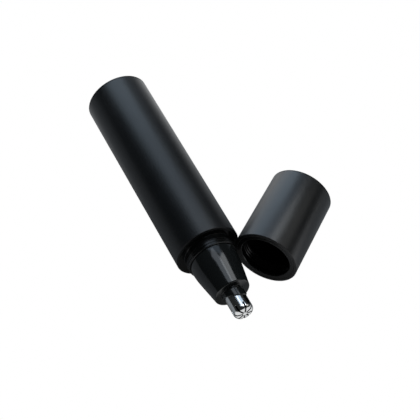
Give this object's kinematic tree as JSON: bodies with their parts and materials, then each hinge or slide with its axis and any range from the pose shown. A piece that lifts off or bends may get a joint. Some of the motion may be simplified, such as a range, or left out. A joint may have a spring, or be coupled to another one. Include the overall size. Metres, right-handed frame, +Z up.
{
  "type": "nose hair trimmer",
  "caption": "Battery nose hair trimmer: slim round black handle, twist-on nose cone with a slotted rotary cutter, twist tail switch, and its tubular cap lying beside it.",
  "frame": {"origin": "under the middle of the whole, on the surface that the trimmer and its cap lie on", "axes": "+Y along the handle from the cutter to the tail, +Z up from the surface, +X to the side where the cap lies"},
  "size_m": [0.0616, 0.1102, 0.024],
  "materials": {
    "anodised_tube": "satin black anodised, fine lengthwise sheen",
    "anodised_cap": "satin black anodised",
    "collar_plastic": "moulded, semi-gloss",
    "nose_plastic": "moulded, semi-gloss",
    "tail_plastic": "moulded, satin",
    "liner_plastic": "moulded, satin",
    "inner_plastic": "moulded",
    "bearing_plastic": "moulded acetal, natural",
    "bell_plastic": "moulded",
    "cutter_steel": "polished stainless steel",
    "blade_steel": "ground stainless steel",
    "spring_steel": "bright drawn wire",
    "motor_steel": "zinc plated",
    "core_iron": "stacked laminations",
    "ferrite": "sintered, matt",
    "winding_copper": "enamelled copper",
    "bushing_bronze": "sintered bronze",
    "contact_brass": "pressed sheet",
    "cell_can": "nickel plated",
    "cell_wrap": "plain printed film, no text",
    "seal_rubber": "matt"
  },
  "bodies": {
    "handle": {"body_tube": "anodised_tube", "front_collar": "collar_plastic", "collar_seal": "seal_rubber", "shaft_seal": "seal_rubber", "motor_mount": "inner_plastic", "motor_can": "motor_steel", "motor_end_bell": "bell_plastic", "motor_magnets": "ferrite", "motor_bushings": "bushing_bronze", "motor_brushes": "contact_brass", "motor_terminals": "contact_brass", "motor_screws": "motor_steel", "battery_sleeve": "inner_plastic", "battery_cell": "cell_can", "battery_wrap": "cell_wrap", "positive_contact": "contact_brass", "contact_strip": "contact_brass", "tail_ring": "inner_plastic"},
    "drive": {"motor_shaft": "spring_steel", "armature_core": "core_iron", "armature_windings": "winding_copper", "commutator": "winding_copper", "drive_coupler": "bearing_plastic", "blade_spring": "spring_steel", "blade_spindle": "bearing_plastic", "inner_blade": "blade_steel"},
    "head": {"nose_cone": "nose_plastic", "outer_cutter": "cutter_steel", "cutter_retainer": "bearing_plastic", "spindle_bush": "bushing_bronze", "head_seal": "seal_rubber"},
    "tail": {"tail_cap": "tail_plastic", "tail_seal": "seal_rubber", "tail_contact": "contact_brass", "battery_spring": "spring_steel"},
    "cap": {"cap_shell": "anodised_cap", "cap_liner": "liner_plastic", "cap_end_plug": "tail_plastic"}
  },
  "joints": [
    {"name": "drive_spin", "type": "hinge", "parent": "handle", "child": "drive", "pos_m": [-0.01878, 0, 0.012], "axis": [0, -1, 0], "continuous": true},
    {"name": "head_twist", "type": "hinge", "parent": "handle", "child": "head", "pos_m": [-0.01878, -0.035, 0.012], "axis": [0, -1, 0], "range_deg": [0, 35]},
    {"name": "tail_twist", "type": "hinge", "parent": "handle", "child": "tail", "pos_m": [-0.01878, 0.05, 0.012], "axis": [0, -1, 0], "range_deg": [-40, 40]},
    {"name": "cap_slide", "type": "slide", "parent": "handle", "child": "cap", "axis": [0.7716, 0.6361, 0], "range_m": [0, 0.06]}
  ]
}
